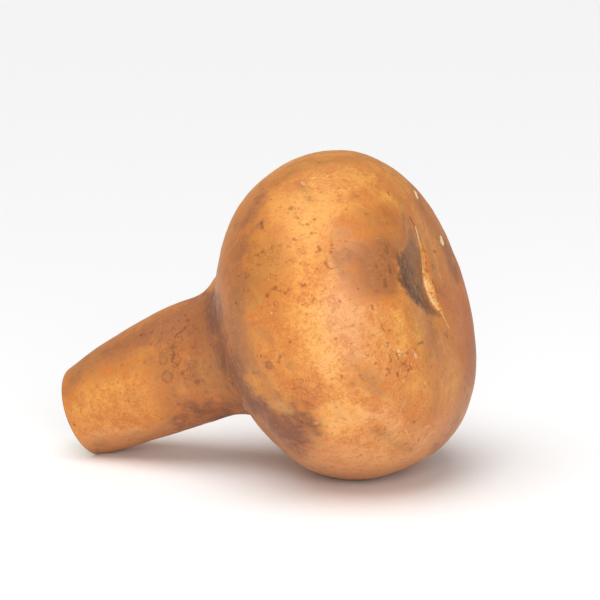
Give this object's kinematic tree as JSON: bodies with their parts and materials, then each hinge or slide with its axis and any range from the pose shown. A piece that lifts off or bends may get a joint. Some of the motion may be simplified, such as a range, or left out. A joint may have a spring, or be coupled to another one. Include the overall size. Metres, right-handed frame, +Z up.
{
  "type": "dried bottle gourd",
  "caption": "Dried bottle gourd lying on its side: squat round bulb, creased blossom end and a short thick neck sawn off square at its tip.",
  "frame": {"origin": "centre of the bounding box's underside, on the surface that the gourd lies on", "axes": "+X from the sawn neck towards the blossom end, +Z up, as the gourd lies"},
  "size_m": [0.2454, 0.186, 0.1856],
  "materials": {
    "dried_rind": "satin"
  },
  "bodies": {
    "root": {"gourd": "dried_rind"}
  },
  "joints": []
}
